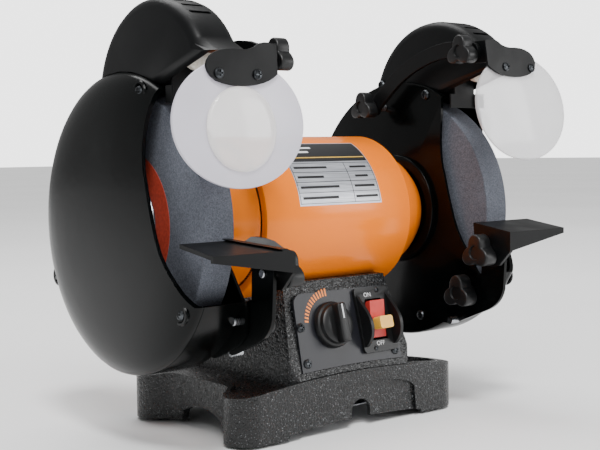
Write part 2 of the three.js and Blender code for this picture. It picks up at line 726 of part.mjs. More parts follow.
// A three lobed hand knob on a bolt along x. The lobes lie between x0 and x1; the bolt runs to xBolt.
function lobedKnob(x0, x1, xBolt, y, z, r = 15) {
  const s = new THREE.Shape();
  for (let i = 0; i < 3; i++) {
    const a = rad(120 * i + 90);
    const next = rad(120 * i + 150);
    const dip = rad(120 * (i + 1) + 90);
    const tip = (angle, k, d) => [y + k * r * Math.cos(angle + d), z + k * r * Math.sin(angle + d)];
    if (i === 0) s.moveTo(...tip(a, 1, -0.26));
    s.lineTo(...tip(a, 1, 0.26));
    s.quadraticCurveTo(...tip(next, 0.42, 0), ...tip(dip, 1, -0.26));
  }
  const lobes = slabX(s, Math.min(x0, x1), Math.max(x0, x1), 3);
  const hub = rod(Math.min(x0, x1) - 0.01, Math.max(x0, x1) + 2, r * 0.42, y, z, 10);
  const bolt = rod(x0 + 1, xBolt, 3, y, z, 8);
  return lobes.add(hub).add(bolt);
}

// The arm that carries the shield over the front of the guard: a flat bar bent in its own plane.
function shieldArm() {
  const { from, to } = ARM_X;
  const width = 6.5;
  const points = [[15, 261], [-1, 274], [-16, 285.5], [-36, 296], [-60, 303.5], [-84, 306], [-105, 302]];
  const curve = new THREE.CatmullRomCurve3(points.map(([y, z]) => new THREE.Vector3(0, y, z)));
  const edge = [];
  const back = [];
  const steps = 14;
  for (let i = 0; i <= steps; i++) {
    const p = curve.getPointAt(i / steps);
    const t = curve.getTangentAt(i / steps);
    edge.push([p.y - t.z * width, p.z + t.y * width]);
    back.unshift([p.y + t.z * width, p.z - t.y * width]);
  }
  const bar = slabX(outline([...edge, ...back]), from, to);
  const ends = [ARM_FOOT, ARM_TIP].map(({ y, z }) => rod(from, to, 8, y, z, 18));
  const holes = [ARM_FOOT, ARM_TIP].map(({ y, z }) => rod(from - 5, to + 5, 3.4, y, z, 12));
  return bar.add(ends[0]).add(ends[1]).subtract(holes[0]).subtract(holes[1]);
}

// The lower knob is moulded onto its bolt, which runs through the arm into the guard.
const armKnob = () => lobedKnob(92, 103.5, GUARD.x + 8, ARM_FOOT.y, ARM_FOOT.z, 13.5).add(
  rod(102, 107.6, 6, ARM_FOOT.y, ARM_FOOT.z, 12),
);

// ---- Shield, drawn upright about its own middle and then leant ----------------------------------

const shieldPlace = () =>
  shift(WHEEL.x, ARM_TIP.y + SHIELD.dy, ARM_TIP.z + SHIELD.dz).multiply(new THREE.Matrix4().makeRotationX(rad(-SHIELD.lean)));

// A shape drawn in x and z of the shield's plane, thick along its y, and leant into place.
function onShield(shape, y0, y1, facets = 8) {
  const g = new THREE.ExtrudeGeometry(shape, { depth: y1 - y0, bevelEnabled: false, curveSegments: facets });
  g.rotateX(Math.PI / 2);
  g.translate(0, y1, 0);
  return placed(g, shieldPlace());
}

function oval(x, z, a, b) {
  const s = new THREE.Shape();
  s.absellipse(x, z, a, b, 0, 2 * Math.PI);
  return s;
}

const shieldLens = () => onShield(oval(0, 0, SHIELD.halfX, SHIELD.halfZ), -SHIELD.thick / 2, SHIELD.thick / 2, 36);

// The plate is drawn about its lens and moved out by dx.
function shieldBracket(dx) {
  const plate = new THREE.Shape();
  plate.moveTo(dx - 36, 34);
  plate.lineTo(dx - 36, 54);
  plate.quadraticCurveTo(dx - 24, 58, dx - 17, 52);
  plate.quadraticCurveTo(dx - 10, 49, dx, 50);
  plate.quadraticCurveTo(dx + 22, 50, dx + 24, 38);
  plate.quadraticCurveTo(dx + 22, 25, dx - 4, 25);
  plate.quadraticCurveTo(dx - 26, 25, dx - 36, 34);
  const front = onShield(plate, -SHIELD.thick / 2 - 2.4, -SHIELD.thick / 2 - GAP, 6);
  const tab = box(ARM_X.to + GAP, ARM_X.to + 3, ARM_TIP.y - 17, ARM_TIP.y, ARM_TIP.z - 9, ARM_TIP.z + 9)
    .add(rod(ARM_X.to + GAP, ARM_X.to + 3, 9, ARM_TIP.y, ARM_TIP.z, 16));
  return front.add(tab).subtract(rod(100, 130, 3.4, ARM_TIP.y, ARM_TIP.z, 12));
}

const shieldKnob = () => lobedKnob(92, 103.5, ARM_X.to + 8, ARM_TIP.y, ARM_TIP.z, 13.5).add(
  rod(102, 107.6, 6, ARM_TIP.y, ARM_TIP.z, 12),
);

function magnifier() {
  const steps = 5;
  const points = [];
  for (let i = 0; i <= steps; i++) {
    const a = (i / steps) * (Math.PI / 2);
    points.push(new THREE.Vector2(29 * Math.sin(a), 5 * Math.cos(a)));
  }
  points.push(new THREE.Vector2(29, -0.8));
  points.push(new THREE.Vector2(0, -0.8));
  const g = new THREE.LatheGeometry(points, 36);
  g.rotateX(Math.PI);
  g.translate(0, -SHIELD.thick / 2 - GAP - 0.8, -4);
  const made = placed(g, shieldPlace());
  return made.volume() > 0 ? made : placed(flipped(g), shieldPlace());
}

function turnedAboutArmFoot(degrees) {
  return shift(0, ARM_FOOT.y, ARM_FOOT.z)
    .multiply(new THREE.Matrix4().makeRotationX(rad(degrees)))
    .multiply(shift(0, -ARM_FOOT.y, -ARM_FOOT.z));
}

// The wheel end. The left end is the mirror image, with its arm swung lower and a grooved rest.
function buildEnd(hand) {
  const end = new THREE.Group();
  end.scale.x = hand === "left" ? -1 : 1;
  const name = (piece) => piece + "_" + hand;
  add(end, name("end_bell"), endBell(), "orange");
  add(end, name("bearing"), tube(BEARING.x0 + GAP, BEARING.x1, BEARING.inner, BEARING.outer, 0, SHAFT_Z, 20), "steel");
  add(end, name("wheel"), wheel(), "stone");
  add(end, name("inner_flange"), innerFlange(), "steel");
  add(end, name("outer_flange"), outerFlange(), "steel");
  add(end, name("spindle_nut"), spindleNut(), "steel");
  add(end, name("guard_shell"), guardShell(), "black");
  add(end, name("guard_cover"), guardCover(), "black");
  add(end, name("lamp_housing"), lampHousing(), "satin");
  add(end, name("lamp_bulb"), lampBulb(), "glass");
  add(end, name("spark_arrester"), sparkArrester(), "satin");
  add(end, name("rest_bracket"), restBracket(), "black");
  add(end, name("tool_rest"), toolRest(hand === "left"), "satin");
  add(end, name("rest_knob"), lobedKnob(95, 108, 125, REST_PIVOT.y, REST_PIVOT.z), "knob");
  add(end, name("bracket_knob"), lobedKnob(101, 114, GUARD.x + 8, CLAMP.y, CLAMP.z), "knob");
  add(end, name("arm_knob"), armKnob(), "knob");
  const arm = new THREE.Group();
  turnedAboutArmFoot(ARM_DROP[hand]).decompose(arm.position, arm.quaternion, arm.scale);
  end.add(arm);
  add(arm, name("shield_arm"), shieldArm(), "satin");
  add(arm, name("shield_bracket"), shieldBracket(PLATE_SHIFT[hand]), "satin");
  add(arm, name("shield_knob"), shieldKnob(), "knob");
  add(arm, name("shield_lens"), shieldLens(), "clear");
  if (hand === "left") add(arm, "magnifier", magnifier(), "clear");
  grinder.add(end);
}

buildBase();
buildControls();
buildMotor();
buildEnd("left");
buildEnd("right");
export default grinder;
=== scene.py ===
"""Bench grinder: cast base, orange motor, guarded wheels, work lights, eye shields and tool rests."""

import math

import bmesh
import bpy
from bpy.props import FloatProperty, FloatVectorProperty, IntProperty, PointerProperty
from mathutils import Matrix, Vector


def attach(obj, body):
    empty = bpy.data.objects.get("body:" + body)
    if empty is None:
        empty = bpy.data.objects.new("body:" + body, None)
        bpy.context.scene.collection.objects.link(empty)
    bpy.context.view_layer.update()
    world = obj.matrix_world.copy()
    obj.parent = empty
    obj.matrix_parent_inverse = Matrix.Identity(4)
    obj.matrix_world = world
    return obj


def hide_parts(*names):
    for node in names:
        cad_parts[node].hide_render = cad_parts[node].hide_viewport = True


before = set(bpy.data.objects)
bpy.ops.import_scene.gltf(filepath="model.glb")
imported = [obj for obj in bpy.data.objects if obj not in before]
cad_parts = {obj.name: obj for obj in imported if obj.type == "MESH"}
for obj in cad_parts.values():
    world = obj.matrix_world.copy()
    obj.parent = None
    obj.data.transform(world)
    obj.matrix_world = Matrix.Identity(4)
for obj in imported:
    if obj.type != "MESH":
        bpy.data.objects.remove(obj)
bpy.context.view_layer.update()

bl_info = {
    "name": "Bench Grinder",
    "version": (1, 0, 0),
    "blender": (4, 5, 0),
    "location": "View3D > Sidebar > Grinder",
    "description": "Builds the finished pieces of a bench grinder round its frame",
    "category": "Object",
}

MM = 0.001
HANDS = (("left", -1), ("right", 1))

# The shaft lies along X. Sizes below are millimetres, with y measured from the shaft's axis.
SHAFT_Y, SHAFT_Z = 14.2, 169.0
WHEEL_X, WHEEL_HALF, WHEEL_RADIUS = 145.0, 12.5, 100.0
GUARD_X, GUARD_RADIUS, GUARD_WALL, GUARD_SEAM = 123.0, 114.6, 2.4, 160.0
PANEL_Y, PANEL_Z, PANEL_LEAN = -68.7, 80.45, 15.18
KNOB_X, KNOB_V = -15.5, 3.5
SWITCH_X, SWITCH_V = 30.0, 3.2
ARM_FOOT, ARM_TIP = (15.0, 261.0), (-105.0, 302.0)
ARM_DROP = {"left": 5.8, "right": 0.0}
REST_PIVOT, CLAMP = (-119.0, 137.0), (-92.0, 101.0)
SHIELD_CENTRE, SHIELD_LEAN = (145.0, -127.0, 256.0), 9.0
PLATE_SHIFT = {"left": 4.0, "right": -3.0}


def linear(code):
    """An sRGB hex colour as linear red, green and blue."""
    values = [int(code[i : i + 2], 16) / 255 for i in (1, 3, 5)]
    return [v / 12.92 if v <= 0.04045 else ((v + 0.055) / 1.055) ** 2.4 for v in values]


# ---- Settings ----------------------------------------------------------------------------------


def colour(label, about, code):
    """A colour setting."""
    return FloatVectorProperty(
        name=label, description=about, subtype="COLOR", size=3, min=0, max=1, default=linear(code)
    )


class GrinderColours(bpy.types.PropertyGroup):
    """The colours that a maker would change."""

    enamel: colour("Motor", "Stoved enamel on the motor and its end bells", "#FF8000")
    casting: colour("Base", "Hammered paint on the cast base", "#0C0D0E")
    gloss: colour("Guards", "Gloss paint on the wheel guards", "#020303")
    satin: colour("Fittings", "Satin powder coat on lamps, rests and arms", "#08090A")
    panel: colour("Panel", "Satin paint on the control panel", "#15161C")
    plastic: colour("Knobs", "Moulded nylon of the knobs and switch", "#0B0C0D")
    rocker: colour("Rocker", "Moulded switch rocker", "#C23A34")
    key: colour("Safety key", "Moulded safety key", "#F2B84A")
    stone: colour("Wheel", "Grit of the grinding wheels", "#5F636D")
    blotter: colour("Wheel label", "Card disc on each wheel", "#B5402E")


class GrinderSizes(bpy.types.PropertyGroup):
    """The sizes that a maker would change, in millimetres."""

    turned_steps: IntProperty(
        name="Turned facets", description="Facets round a turned piece", default=128, min=24, max=256
    )
    lobe_radius: FloatProperty(
        name="Knob radius", description="Reach of a hand knob's lobes", default=15, min=10, max=20
    )
    ticks: IntProperty(
        name="Dial marks", description="Marks round the speed knob", default=13, min=5, max=25
    )
    screw: FloatProperty(
        name="Screw radius", description="Radius of a cover screw's head", default=4.6, min=2, max=6
    )


def sizes():
    """This scene's sizes."""
    return bpy.context.scene.grinder_sizes


def colours():
    """This scene's colours."""
    return bpy.context.scene.grinder_colours


# ---- Shaping -----------------------------------------------------------------------------------


def at(x, y, z):
    """A point in metres from millimetres, with y measured from the shaft."""
    return Vector((x, y + SHAFT_Y, z)) * MM


def place(x, y, z, turn=0.0, axis="X"):
    """A move to a point, after a turn in degrees."""
    return Matrix.Translation(at(x, y, z)) @ Matrix.Rotation(math.radians(turn), 4, axis)


ON_SHAFT = place(0, 0, SHAFT_Z)
ON_PANEL = place(0, PANEL_Y, PANEL_Z, 90 - PANEL_LEAN)
# Draws an outline in (y, z) and pushes it along x.
SIDE_ON = Matrix(((0, 0, 1, 0), (1, 0, 0, 0), (0, 1, 0, 0), (0, 0, 0, 1)))


def local(x, y, z):
    """A move inside a piece's own frame."""
    return Matrix.Translation(Vector((x, y, z)) * MM)


def turned(profile, matrix=ON_SHAFT, steps=None):
    """A solid turned about X from (x, radius) points."""
    bm = bmesh.new()
    verts = [bm.verts.new(Vector((x, 0, r)) * MM) for x, r in profile]
    edges = [bm.edges.new(pair) for pair in zip(verts, verts[1:])]
    if profile[0][1] > 0 and profile[-1][1] > 0:
        edges.append(bm.edges.new((verts[-1], verts[0])))
    bmesh.ops.spin(
        bm,
        geom=verts + edges,
        cent=(0, 0, 0),
        axis=(1, 0, 0),
        angle=2 * math.pi,
        steps=steps or sizes().turned_steps,
        use_merge=True,
        use_duplicate=False,
    )
    return tidied(bm, matrix)


def tidied(bm, matrix=Matrix.Identity(4)):
    """Merges doubles, turns faces outward and moves the shape into place."""
    bmesh.ops.remove_doubles(bm, verts=bm.verts, dist=1e-6)
    bm.transform(matrix)
    bmesh.ops.recalc_face_normals(bm, faces=bm.faces)
    return bm


def plate(points, depth, matrix):
    """A flat outline pushed up by depth."""
    bm = bmesh.new()
    face = bm.faces.new([bm.verts.new(Vector((u, v, 0)) * MM) for u, v in points])
    made = bmesh.ops.extrude_face_region(bm, geom=[face])
    top = [g for g in made["geom"] if isinstance(g, bmesh.types.BMVert)]
    bmesh.ops.translate(bm, vec=(0, 0, depth * MM), verts=top)
    return tidied(bm, matrix)


def block(x0, x1, y0, y1, z0, z1, matrix=Matrix.Identity(4)):
    """A box between its corners, in the frame of matrix."""
    return plate([(x0, y0), (x1, y0), (x1, y1), (x0, y1)], z1 - z0, matrix @ local(0, 0, z0))


def soften(bm, offset, segments=3, angle=30):
    """Rounds each edge that turns by more than angle."""
    edges = [e for e in bm.edges if e.is_manifold and e.calc_face_angle(0) > math.radians(angle)]
    bmesh.ops.bevel(
        bm,
        geom=edges,
        offset=offset * MM,
        affect="EDGES",
        segments=segments,
        profile=0.5,
        material=-1,
        clamp_overlap=True,
    )
    return bm


def mirrored(bm, side):
    """The left hand copy of a right hand shape, or the shape itself."""
    if side < 0:
        bmesh.ops.scale(bm, vec=(-1, 1, 1), verts=bm.verts)
        bmesh.ops.recalc_face_normals(bm, faces=bm.faces)
    return bm


def joined(*shapes):
    """Several shapes as one mesh."""
    first = shapes[0]
    for bm in shapes[1:]:
        mesh = bpy.data.meshes.new("join")
        bm.to_mesh(mesh)
        bm.free()
        first.from_mesh(mesh)
        bpy.data.meshes.remove(mesh)
    return first


def loose(bm):
    """A helper object that holds a shape for a cut."""
    mesh = bpy.data.meshes.new("helper")
    bm.to_mesh(mesh)
    bm.free()
    obj = bpy.data.objects.new("helper", mesh)
    bpy.context.scene.collection.objects.link(obj)
    return obj


def carved(bm, *cutters):
    """A shape with others cut from it."""
    body, tools = loose(bm), [loose(c) for c in cutters]
    for tool in tools:
        cut = body.modifiers.new("cut", "BOOLEAN")
        cut.operation, cut.solver, cut.object = "DIFFERENCE", "EXACT", tool
    graph = bpy.context.evaluated_depsgraph_get()
    mesh = bpy.data.meshes.new_from_object(body.evaluated_get(graph))
    out = bmesh.new()
    out.from_mesh(mesh)
    for obj in [body, *tools]:
        data = obj.data
        bpy.data.objects.remove(obj)
        bpy.data.meshes.remove(data)
    bpy.data.meshes.remove(mesh)
    return tidied(out)


def copy_of(node):
    """A merged copy of a frame node's mesh, with its flat faces whole."""
    bm = bmesh.new()
    bm.from_mesh(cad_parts[node].data)
    bmesh.ops.remove_doubles(bm, verts=bm.verts, dist=2e-6)
    bmesh.ops.dissolve_limit(bm, angle_limit=math.radians(0.5), verts=bm.verts, edges=bm.edges)
    bmesh.ops.recalc_face_normals(bm, faces=bm.faces)
    return bm


def piece(name, bm, kind, body, stands_for=(), edge=0.0, sharp=32):
    """A finished piece from a shape: smooth faces, sharp corners, its finish and the body it rides on."""
    for face in bm.faces:
        face.smooth = True
    for line in bm.edges:
        line.smooth = line.calc_face_angle(0) < math.radians(sharp) if line.is_manifold else True
    mesh = bpy.data.meshes.new(name)
    bm.to_mesh(mesh)
    bm.free()
    obj = bpy.data.objects.new(name, mesh)
    bpy.context.scene.collection.objects.link(obj)
    mesh.materials.append(finish_of(kind))
    if edge:
        rounding = obj.modifiers.new("rounding", "BEVEL")
        rounding.width, rounding.segments, rounding.limit_method = edge * MM, 2, "ANGLE"
        rounding.angle_limit = math.radians(sharp)
        rounding.harden_normals = True
    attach(obj, body)
    if stands_for:
        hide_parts(*stands_for)


def remade(node, bm, kind, body, edge=0.0, sharp=32):
    """A new shape that stands for a frame node."""
    piece(node + "_finished", bm, kind, body, [node], edge, sharp)


def dressed(node, kind, body, edge=0.4):
    """A frame node's own shape, rounded and in its finish."""
    remade(node, copy_of(node), kind, body, edge)


# ---- Finishes ----------------------------------------------------------------------------------


def add_node(tree, kind, inputs=None, **settings):
    """Adds a node, sets it up, and sets or links its inputs."""
    node = tree.nodes.new(kind)
    for key, value in settings.items():
        setattr(node, key, value)
    for key, value in (inputs or {}).items():
        socket = node.inputs[key]
        if isinstance(value, bpy.types.NodeSocket):
            tree.links.new(value, socket)
        else:
            socket.default_value = value
    return node


def new_finish(name, **surface):
    """A material with its shader, and the coordinates that its pattern reads."""
    finish = bpy.data.materials.new(name)
    finish.use_nodes = True
    tree = finish.node_tree
    tree.nodes.clear()
    shader = add_node(tree, "ShaderNodeBsdfPrincipled", surface)
    add_node(tree, "ShaderNodeOutputMaterial", {"Surface": shader.outputs[0]})
    coords = add_node(tree, "ShaderNodeTexCoord")
    return finish, tree, shader, coords.outputs["Object"]


def grit(tree, coords, size, detail=2.0, kind="ShaderNodeTexNoise", **settings):
    """A pattern whose grain is size millimetres across."""
    inputs = {"Vector": coords, "Scale": 1 / (size * MM), "Detail": detail}
    return add_node(tree, kind, inputs, **settings)


def relief(tree, shader, height, depth, strength=1.0):
    """Raises the surface by a pattern, depth millimetres high."""
    inputs = {"Height": height, "Distance": depth * MM, "Strength": strength}
    bump = add_node(tree, "ShaderNodeBump", inputs)
    tree.links.new(bump.outputs[0], shader.inputs["Normal"])


def blend_by(tree, shader, socket, factor, low, high, from_min=0.35, from_max=0.65):
    """Runs a shader input between two values, or two colours, along a pattern."""
    if isinstance(low, (int, float)):
        made = add_node(
            tree,
            "ShaderNodeMapRange",
            {"Value": factor, "From Min": from_min, "From Max": from_max, "To Min": low, "To Max": high},
        )
        tree.links.new(made.outputs[0], shader.inputs[socket])
        return
    ramp = add_node(tree, "ShaderNodeValToRGB", {"Fac": factor})
    for stop, place_at, value in zip(ramp.color_ramp.elements, (from_min, from_max), (low, high)):
        stop.position, stop.color = place_at, (*value, 1)
    tree.links.new(ramp.outputs[0], shader.inputs[socket])


def shade(value, factor):
    """A colour made darker or lighter."""
    return [min(1.0, v * factor) for v in value]


def hammered_paint():
    """Hammer paint on a sand casting: a dark skin with pits that catch the light as silver flecks."""
    tone = list(colours().casting)
    finish, tree, shader, coords = new_finish("hammered_paint", Roughness=0.38, Metallic=0.0, IOR=1.5)
    pits = grit(tree, coords, 1.9, 1.0)
    fleck = grit(tree, coords, 1.1, 2.0)
    blend_by(tree, shader, "Base Color", fleck.outputs["Fac"], tone, linear("#7E8184"), 0.63, 0.74)
    blend_by(tree, shader, "Roughness", pits.outputs["Fac"], 0.2, 0.42)
    relief(tree, shader, pits.outputs["Fac"], 1.0, 0.9)
    return finish


def enamel():
    """Stoved enamel on pressed steel: a deep even colour under a hard gloss with a faint peel."""
    tone = list(colours().enamel)
    surface = {"Roughness": 0.22, "IOR": 1.5, "Specular IOR Level": 0.25}
    surface |= {"Coat Weight": 0.08, "Coat Roughness": 0.05}
    finish, tree, shader, coords = new_finish("stoved_enamel", **surface)
    drift = grit(tree, coords, 60, 1.0)
    blend_by(tree, shader, "Base Color", drift.outputs["Fac"], shade(tone, 0.96), shade(tone, 1.03))
    relief(tree, shader, grit(tree, coords, 5, 1.0).outputs["Fac"], 0.04, 0.5)
    return finish


def gloss_paint():
    """Gloss black paint on spun steel: a near mirror skin with a soft peel."""
    tone = list(colours().gloss)
    surface = {"Roughness": 0.2, "IOR": 1.42, "Specular IOR Level": 0.2}
    surface |= {"Coat Weight": 0.04, "Coat Roughness": 0.06}
    finish, tree, shader, coords = new_finish("gloss_black_paint", **surface)
    peel = grit(tree, coords, 7, 1.0)
    smear = grit(tree, coords, 38, 3.0)
    blend_by(tree, shader, "Base Color", smear.outputs["Fac"], tone, shade(tone, 1.8))
    blend_by(tree, shader, "Roughness", smear.outputs["Fac"], 0.17, 0.27)
    relief(tree, shader, peel.outputs["Fac"], 0.05, 0.5)
    return finish


def powder_coat():
    """Satin powder coat: an even dark grey with a fine pebble grain."""
    tone = list(colours().satin)
    finish, tree, shader, coords = new_finish(
        "satin_powder_coat", **{"Roughness": 0.38, "IOR": 1.42, "Specular IOR Level": 0.25}
    )
    pebble = grit(tree, coords, 1.4, 2.0)
    blend_by(tree, shader, "Base Color", pebble.outputs["Fac"], shade(tone, 0.85), shade(tone, 1.2))
    blend_by(tree, shader, "Roughness", grit(tree, coords, 25, 2.0).outputs["Fac"], 0.36, 0.46)
    relief(tree, shader, pebble.outputs["Fac"], 0.05, 0.4)
    return finish


def panel_paint():
    """Satin paint on a pressed panel: a cool grey with a light bloom."""
    tone = list(colours().panel)
    finish, tree, shader, coords = new_finish("panel_paint", Roughness=0.4, IOR=1.5)
    bloom = grit(tree, coords, 30, 2.0)
    blend_by(tree, shader, "Base Color", bloom.outputs["Fac"], shade(tone, 0.92), shade(tone, 1.08))
    relief(tree, shader, grit(tree, coords, 1.2, 1.0).outputs["Fac"], 0.02, 0.3)
    return finish


def moulded(name, tone, rough=0.42, grain=1.1):
    """Moulded nylon or ABS: an even colour with the fine spark texture of its mould."""
    finish, tree, shader, coords = new_finish(name, Roughness=rough, IOR=1.46)
    spark = grit(tree, coords, grain, 2.0)
    drift = grit(tree, coords, 12, 2.0)
    blend_by(tree, shader, "Base Color", drift.outputs["Fac"], shade(tone, 0.9), shade(tone, 1.1))
    relief(tree, shader, spark.outputs["Fac"], 0.03, 0.35)
    return finish


def moulded_rubber():
    """Moulded rubber: nearly black and dull, with a dusty bloom."""
    finish, tree, shader, coords = new_finish("moulded_rubber", Roughness=0.75, IOR=1.52)
    dust = grit(tree, coords, 9, 3.0)
    blend_by(tree, shader, "Base Color", dust.outputs["Fac"], linear("#141414"), linear("#242526"))
    relief(tree, shader, grit(tree, coords, 1.0, 1.0).outputs["Fac"], 0.05, 0.4)
    return finish


def grinding_stone():
    """Vitrified corundum: pale and dark grains in a porous matt bond, drawn coarser than real grit."""
    tone = list(colours().stone)
    finish, tree, shader, coords = new_finish("vitrified_stone", Roughness=0.92, IOR=1.6)
    grain = grit(tree, coords, 1.0, 3.0)
    dark, pale = shade(tone, 0.72), shade(tone, 1.3)
    blend_by(tree, shader, "Base Color", grain.outputs["Fac"], dark, pale, 0.38, 0.64)
    relief(tree, shader, grain.outputs["Fac"], 0.3, 0.6)
    return finish


def blotter_card():
    """Printed card on the wheel: matt ink over slightly fibrous paper."""
    tone = list(colours().blotter)
    finish, tree, shader, coords = new_finish("blotter_card", Roughness=0.65, IOR=1.45)
    fibre = grit(tree, coords, 2.5, 4.0)
    blend_by(tree, shader, "Base Color", fibre.outputs["Fac"], shade(tone, 0.85), shade(tone, 1.15))
    relief(tree, shader, fibre.outputs["Fac"], 0.05, 0.3)
    return finish


def machined_steel(name="turned_steel", code="#B9BCC0", rough=0.3):
    """Turned and zinc plated steel: fine rings left by the tool, seen as a soft sheen."""
    finish, tree, shader, coords = new_finish(name, Roughness=rough, Metallic=1.0)
    rings = add_node(
        tree,
        "ShaderNodeTexWave",
        {"Vector": coords, "Scale": 1 / (6 * MM), "Distortion": 1.5, "Detail": 2.0},
        wave_type="BANDS",
    )
    tone = linear(code)
    blend_by(tree, shader, "Base Color", rings.outputs["Fac"], shade(tone, 0.85), shade(tone, 1.1))
    blend_by(tree, shader, "Roughness", rings.outputs["Fac"], rough - 0.06, rough + 0.1)
    relief(tree, shader, rings.outputs["Fac"], 0.02, 0.3)
    return finish


def black_oxide():
    """Blackened screw steel: dark metal with an oily sheen."""
    finish, tree, shader, coords = new_finish("black_oxide_steel", Roughness=0.34, Metallic=1.0)
    oil = grit(tree, coords, 3, 2.0)
    blend_by(tree, shader, "Base Color", oil.outputs["Fac"], linear("#2E3032"), linear("#54575A"))
    relief(tree, shader, oil.outputs["Fac"], 0.02, 0.3)
    return finish


def laminated_steel():
    """Stacked electrical steel: thin plates with dark lines between them."""
    finish, tree, shader, coords = new_finish("laminated_steel", Roughness=0.45, Metallic=1.0)
    stack = add_node(
        tree,
        "ShaderNodeTexWave",
        {"Vector": coords, "Scale": 1 / (4 * MM), "Distortion": 0.2},
        wave_type="BANDS",
        bands_direction="X",
    )
    blend_by(tree, shader, "Base Color", stack.outputs["Fac"], linear("#53575B"), linear("#A2A6AA"))
    relief(tree, shader, stack.outputs["Fac"], 0.05, 0.6)
    return finish


def varnished_copper():
    """Varnished magnet wire: copper bands under an amber gloss."""
    finish, tree, shader, coords = new_finish("varnished_copper", Roughness=0.3, Metallic=1.0)
    wire = add_node(
        tree,
        "ShaderNodeTexWave",
        {"Vector": coords, "Scale": 1 / (5 * MM), "Distortion": 3.0, "Detail": 2.0},
        wave_type="RINGS",
        rings_direction="X",
    )
    blend_by(tree, shader, "Base Color", wire.outputs["Fac"], linear("#7A3A18"), linear("#C9743A"))
    relief(tree, shader, wire.outputs["Fac"], 0.2, 0.6)
    return finish


def board_laminate():
    """Glass epoxy board: green solder mask with paler tracks."""
    finish, tree, shader, coords = new_finish("board_laminate", Roughness=0.4, IOR=1.5)
    tracks = grit(tree, coords, 5, 0.0)
    mask, track = linear("#1E5A35"), linear("#3F8A58")
    blend_by(tree, shader, "Base Color", tracks.outputs["Fac"], mask, track, 0.49, 0.51)
    relief(tree, shader, tracks.outputs["Fac"], 0.03, 0.3)
    return finish


def polycarbonate(name, code, alpha, rough, window=None):
    """Moulded polycarbonate: a clean gloss, milky where it is scuffed, and a clearer window if given."""
    finish, tree, shader, coords = new_finish(name, Roughness=rough, IOR=1.58, Alpha=alpha)
    if window:
        centre, reach, clear = window
        away = add_node(tree, "ShaderNodeVectorMath", {0: coords, 1: centre}, operation="DISTANCE")
        start, end = (reach - 1.5) * MM, reach * MM
        blend_by(tree, shader, "Alpha", away.outputs["Value"], clear, alpha, start, end)
    haze = grit(tree, coords, 45, 2.0)
    tone = linear(code)
    blend_by(tree, shader, "Base Color", haze.outputs["Fac"], shade(tone, 0.94), tone)
    relief(tree, shader, haze.outputs["Fac"], 0.05, 0.2)
    return finish


def magnifier_window():
    """Where the left shield is clear, behind its magnifier: centre, reach and how much it still hides."""
    centre = shield_place("left")[1] @ (Vector((0, 0, -4)) * MM)
    return (-centre.x, centre.y, centre.z), 29, 0.45


def lamp_glass():
    """Frosted bulb glass: warm white with a soft gloss."""
    finish, tree, shader, coords = new_finish("lamp_glass", Roughness=0.25, IOR=1.52, Alpha=0.92)
    frost = grit(tree, coords, 2, 3.0)
    blend_by(tree, shader, "Base Color", frost.outputs["Fac"], linear("#E9E2CF"), linear("#FBF7EC"))
    relief(tree, shader, frost.outputs["Fac"], 0.03, 0.3)
    return finish


def print_ink(name, code, rough=0.5):
    """Screen printed ink: flat colour with slightly uneven cover."""
    finish, tree, shader, coords = new_finish(name, Roughness=rough, IOR=1.45)
    cover = grit(tree, coords, 1.5, 2.0)
    tone = linear(code)
    blend_by(tree, shader, "Base Color", cover.outputs["Fac"], shade(tone, 0.92), shade(tone, 1.05))
    return finish


def brushed_foil():
    """Brushed foil label stock: fine lines along the label with a satin sheen."""
    finish, tree, shader, coords = new_finish("brushed_foil", Roughness=0.38, Metallic=0.55, IOR=1.5)
    brushed = add_node(tree, "ShaderNodeMapping", {"Vector": coords, "Scale": (8, 400, 400)})
    grain = {"Vector": brushed.outputs[0], "Scale": 4.0, "Detail": 2.0}
    lines = add_node(tree, "ShaderNodeTexNoise", grain)
    blend_by(tree, shader, "Base Color", lines.outputs["Fac"], linear("#A9ACB3"), linear("#CDD0D6"))
    relief(tree, shader, lines.outputs["Fac"], 0.01, 0.2)
    return finish


def floor_paint():
    """Matt white studio floor."""
    finish, tree, shader, coords = new_finish("studio_floor", Roughness=0.85)
    wash = grit(tree, coords, 800, 1.0)
    blend_by(tree, shader, "Base Color", wash.outputs["Fac"], linear("#F1F1F1"), linear("#F6F6F6"))
    return finish


FINISHES = {
    "hammered": hammered_paint,
    "enamel": enamel,
    "gloss": gloss_paint,
    "satin": powder_coat,
    "panel": panel_paint,
    "nylon": lambda: moulded("glass_filled_nylon", list(colours().plastic)),
    "rocker": lambda: moulded("rocker_abs", list(colours().rocker), 0.35),
    "key": lambda: moulded("key_abs", list(colours().key), 0.35),
    "rubber": moulded_rubber,
    "stone": grinding_stone,
    "blotter": blotter_card,
    "steel": machined_steel,
    "oxide": black_oxide,
    "laminate": laminated_steel,
    "copper": varnished_copper,
    "board": board_laminate,
    "clear_lens": lambda: polycarbonate("clear_polycarbonate", "#D9D8DA", 0.6, 0.1),
    "milky_lens": lambda: polycarbonate("milky_polycarbonate", "#D6D3DE", 0.88, 0.3, magnifier_window()),
    "magnifier": lambda: polycarbonate("magnifier_acrylic", "#FBF8F6", 0.5, 0.06),
    "glass": lamp_glass,
    "foil": brushed_foil,
    "black_ink": lambda: print_ink("black_ink", "#1B1B1D"),
    "gold_ink": lambda: print_ink("gold_ink", "#C9A24B", 0.35),
    "orange_ink": lambda: print_ink("orange_ink", "#F08A3C"),
    "white_ink": lambda: print_ink("white_ink", "#D9DADC"),
    "floor": floor_paint,
}
made_finishes = {}


def finish_of(kind):
    """The finish of that kind, made once."""
    if kind not in made_finishes:
        made_finishes[kind] = FINISHES[kind]()
    return made_finishes[kind]


# ---- Small fastenings ----------------------------------------------------------------------------


